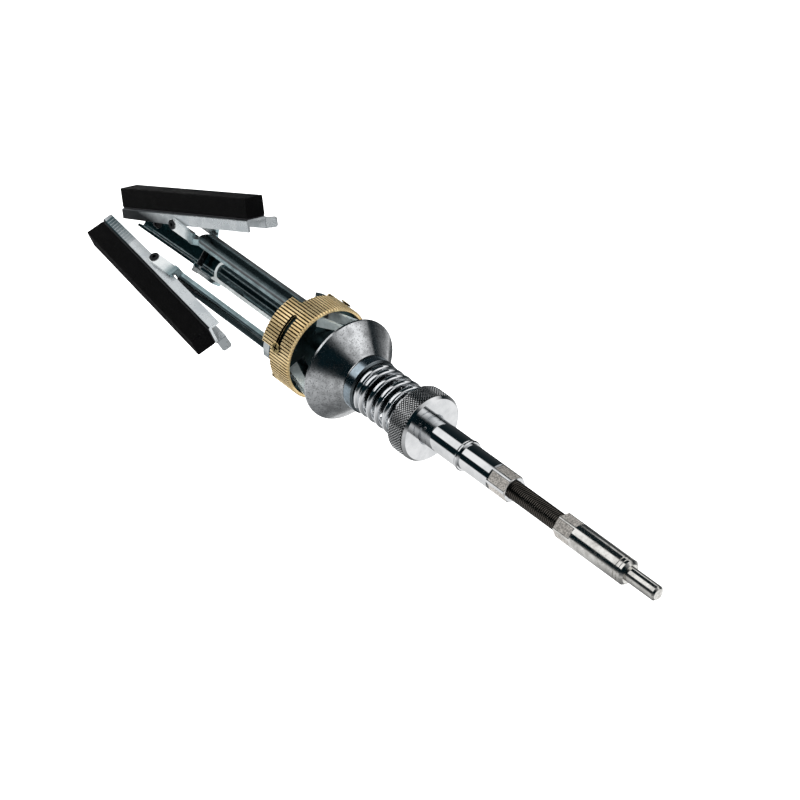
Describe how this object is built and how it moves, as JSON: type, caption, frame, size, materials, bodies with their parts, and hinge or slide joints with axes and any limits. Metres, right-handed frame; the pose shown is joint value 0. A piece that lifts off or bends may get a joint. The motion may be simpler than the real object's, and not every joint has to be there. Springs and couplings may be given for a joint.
{
  "type": "cylinder hone",
  "caption": "Adjustable cylinder hone: abrasive stones on sprung spreader arms, a brass range ring, pressure cone and knurled nut on a flexible drive shank.",
  "frame": {"origin": "middle of the drive shank's shoulder, where the chucked part of the shank begins", "axes": "+Z along the tool's axis, out of the shank's end and away from the stones; arm b lies in the +X direction"},
  "size_m": [0.0627, 0.0761, 0.3587],
  "materials": {
    "zinc": "bright zinc-plated turned steel",
    "polished_steel": "polished plated steel",
    "dark_wire": "black oiled steel",
    "brass": "machined brass with straight ribs",
    "arm_steel": "bright plated pressed steel",
    "holder_zinc": "satin zinc-plated pressed steel",
    "backing_black": "black backing",
    "abrasive": "dark vitrified abrasive"
  },
  "bodies": {
    "chuck": {"chuck_shank": "zinc"},
    "flex": {"flex_shaft": "dark_wire"},
    "head": {"drive_spindle": "zinc", "spindle_ring": "dark_wire", "arm_hub": "zinc", "guide_screws": "dark_wire", "hub_washer": "zinc", "hub_nut": "zinc", "pivot_pin_a": "zinc", "pivot_pin_b": "zinc", "pivot_pin_c": "zinc"},
    "carriage": {"pressure_cone": "polished_steel", "pressure_spring": "zinc"},
    "nut": {"tension_nut": "polished_steel"},
    "range_ring": {"range_ring": "brass"},
    "arm_a": {"arm_a": "arm_steel", "holder_pin_a": "arm_steel"},
    "holder_a": {"stone_holder_a": "holder_zinc", "stone_backing_a": "backing_black", "stone_a": "abrasive"},
    "arm_b": {"arm_b": "arm_steel", "holder_pin_b": "arm_steel"},
    "holder_b": {"stone_holder_b": "holder_zinc", "stone_backing_b": "backing_black", "stone_b": "abrasive"},
    "arm_c": {"arm_c": "arm_steel", "holder_pin_c": "arm_steel"},
    "holder_c": {"stone_holder_c": "holder_zinc", "stone_backing_c": "backing_black", "stone_c": "abrasive"}
  },
  "joints": [
    {"name": "flex_bend_x", "type": "hinge", "parent": "chuck", "child": "flex", "pos_m": [0, 0, -0.045], "axis": [1, 0, 0], "range_deg": [-12, 12], "stiffness_Nm_per_rad": 2, "deforming": ["flex_shaft"]},
    {"name": "flex_bend_y", "type": "hinge", "parent": "flex", "child": "head", "pos_m": [0, 0, -0.059], "axis": [0, 1, 0], "range_deg": [-12, 12], "stiffness_Nm_per_rad": 2, "deforming": ["flex_shaft"]},
    {"name": "arm_a_swing", "type": "hinge", "parent": "head", "child": "arm_a", "pos_m": [-0.0071, -0.0123, -0.196], "axis": [-0.866, 0.5, 0], "range_deg": [-2, 35]},
    {"name": "arm_b_swing", "type": "hinge", "parent": "head", "child": "arm_b", "pos_m": [0.0142, 0, -0.196], "axis": [0, -1, 0], "range_deg": [-2, 35]},
    {"name": "arm_c_swing", "type": "hinge", "parent": "head", "child": "arm_c", "pos_m": [-0.0071, 0.0123, -0.196], "axis": [0.866, 0.5, 0], "range_deg": [-2, 35]},
    {"name": "cone_slide", "type": "slide", "parent": "head", "child": "carriage", "axis": [0, 0, 1], "range_m": [-0.0121, 0.0008]},
    {"name": "nut_spin", "type": "hinge", "parent": "carriage", "child": "nut", "pos_m": [0, 0, -0.1231], "axis": [0, 0, 1], "range_deg": [-2162, 125.4]},
    {"name": "holder_a_swivel", "type": "hinge", "parent": "arm_a", "child": "holder_a", "pos_m": [-0.0071, -0.0123, -0.297], "axis": [0.866, -0.5, 0], "range_deg": [-1.1, 14.3]},
    {"name": "holder_b_swivel", "type": "hinge", "parent": "arm_b", "child": "holder_b", "pos_m": [0.0142, 0, -0.297], "axis": [0, 1, 0], "range_deg": [-1.9, 29.1]},
    {"name": "holder_c_swivel", "type": "hinge", "parent": "arm_c", "child": "holder_c", "pos_m": [-0.0071, 0.0123, -0.297], "axis": [-0.866, -0.5, 0], "range_deg": [-1.9, 29.1]},
    {"name": "ring_turn", "type": "hinge", "parent": "head", "child": "range_ring", "pos_m": [0, 0, -0.19755], "axis": [0, 0, 1], "range_deg": [0, 18]}
  ],
  "couplings": [
    {"joint": "arm_b_swing", "follows": "arm_a_swing", "ratio": 1},
    {"joint": "arm_c_swing", "follows": "arm_a_swing", "ratio": 1},
    {"joint": "cone_slide", "follows": "arm_a_swing", "m_per_rad": -0.019644},
    {"joint": "nut_spin", "follows": "arm_a_swing", "ratio": -61.714},
    {"joint": "holder_a_swivel", "follows": "arm_a_swing", "ratio": 0.39429},
    {"joint": "holder_b_swivel", "follows": "arm_a_swing", "ratio": 0.81714},
    {"joint": "holder_c_swivel", "follows": "arm_a_swing", "ratio": 0.81714}
  ]
}
